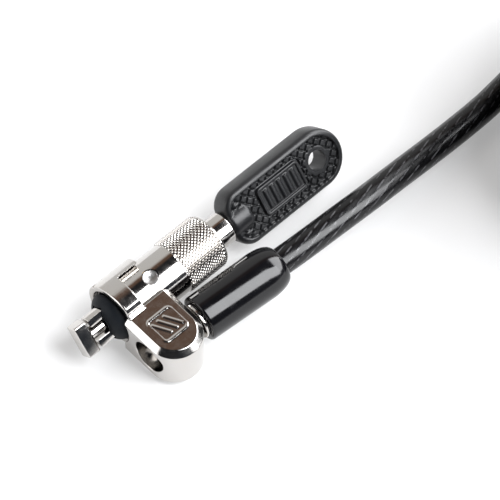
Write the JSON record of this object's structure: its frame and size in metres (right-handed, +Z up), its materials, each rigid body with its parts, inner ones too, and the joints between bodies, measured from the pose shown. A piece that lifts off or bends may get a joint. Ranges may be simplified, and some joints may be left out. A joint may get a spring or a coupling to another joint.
{
  "type": "laptop cable lock",
  "caption": "Laptop cable lock: T-bar head with knurled barrel, swivel collar with an ear for the cable's ball end, tubular key with flat bow, and a coiled coated steel cable with an end loop.",
  "frame": {"origin": "middle of the T-bar's outer face, on the lock axis", "axes": "+X along the lock axis from the T-bar to the key, the cable's ear on the -Y side, +Z up from the surface the lock lies on"},
  "size_m": [0.1541, 0.0838, 0.0361],
  "materials": {
    "nickel": "satin nickel plate",
    "steel": "plain turned steel",
    "brass": "turned brass",
    "boot": "glossy black moulded boot",
    "cable_sheath": "dark clear coat over twisted steel strands",
    "pad_rubber": "matte blue-black rubber",
    "tie_strap": "black strap",
    "key_plastic": "satin black with a fine diamond pattern"
  },
  "bodies": {
    "cable_end": {"cable_boot": "boot", "crimp_ferrule": "steel", "cable": "cable_sheath", "cable_coil": "cable_sheath", "cable_loop": "cable_sheath", "coil_tie_1": "tie_strap", "coil_tie_2": "tie_strap", "end_ferrule": "steel"},
    "stud": {"ball_stud": "nickel"},
    "collar": {"swivel_collar": "nickel"},
    "barrel": {"barrel_housing": "nickel", "retaining_pin": "steel", "collar_snap_ring": "steel", "stator": "brass", "peg_plate": "nickel", "nose_pad": "pad_rubber", "driver_pin_1": "steel", "driver_pin_2": "steel", "driver_pin_3": "steel", "driver_pin_4": "steel", "driver_pin_5": "steel", "driver_pin_6": "steel", "driver_pin_7": "steel", "driver_spring_1": "steel", "driver_spring_2": "steel", "driver_spring_3": "steel", "driver_spring_4": "steel", "driver_spring_5": "steel", "driver_spring_6": "steel", "driver_spring_7": "steel"},
    "rotor": {"t_bar_spindle": "nickel", "rotor": "brass", "spindle_dowel": "steel", "key_pin_1": "brass", "key_pin_2": "brass", "key_pin_3": "brass", "key_pin_4": "brass", "key_pin_5": "brass", "key_pin_6": "brass", "key_pin_7": "brass"},
    "key": {"key_shank": "nickel", "key_bow": "key_plastic"}
  },
  "joints": [
    {"name": "stud_spin", "type": "hinge", "parent": "cable_end", "child": "stud", "pos_m": [0.0131, -0.0108, -0.0006], "axis": [0.9979, -0.0645, 0], "continuous": true},
    {"name": "ear_swing", "type": "hinge", "parent": "stud", "child": "collar", "pos_m": [0.0131, -0.0108, -0.0006], "axis": [0, 0, 1], "range_deg": [-3.7, 15]},
    {"name": "barrel_swivel", "type": "hinge", "parent": "collar", "child": "barrel", "pos_m": [0.0131, 0, 0], "axis": [1, 0, 0], "continuous": true},
    {"name": "key_turn", "type": "hinge", "parent": "barrel", "child": "rotor", "pos_m": [0.0216, 0, 0], "axis": [1, 0, 0], "range_deg": [-90, 0]},
    {"name": "key_slide", "type": "slide", "parent": "rotor", "child": "key", "axis": [1, 0, 0], "range_m": [0, 0.012]}
  ]
}
